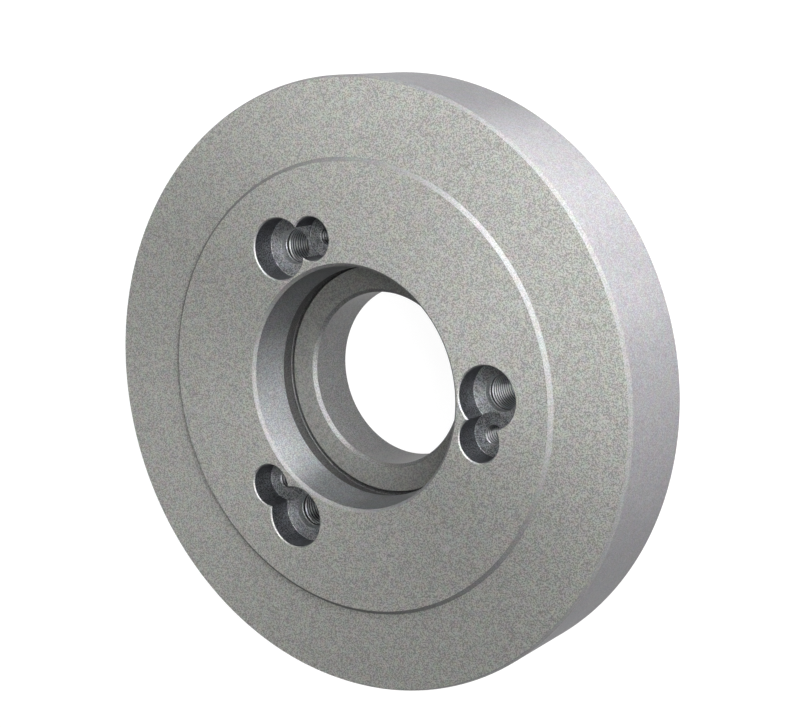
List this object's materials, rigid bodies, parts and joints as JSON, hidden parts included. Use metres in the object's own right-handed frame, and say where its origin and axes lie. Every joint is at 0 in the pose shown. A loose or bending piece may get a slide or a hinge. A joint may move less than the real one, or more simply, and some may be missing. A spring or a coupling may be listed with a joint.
{
  "type": "chuck backplate",
  "caption": "Round lathe chuck backplate with a short taper socket, camlock stud and lock screw holes round it, a raised spindle face and a chuck register.",
  "frame": {"origin": "centre of the chuck-side register face, on the turning axis", "axes": "+Z along the turning axis out of the taper socket, towards the spindle; +X through the centre of one stud hole"},
  "size_m": [0.16, 0.16, 0.03],
  "materials": {
    "iron": "fine-ground grey iron with a matt grain"
  },
  "bodies": {
    "root": {"backplate": "iron"}
  },
  "joints": []
}
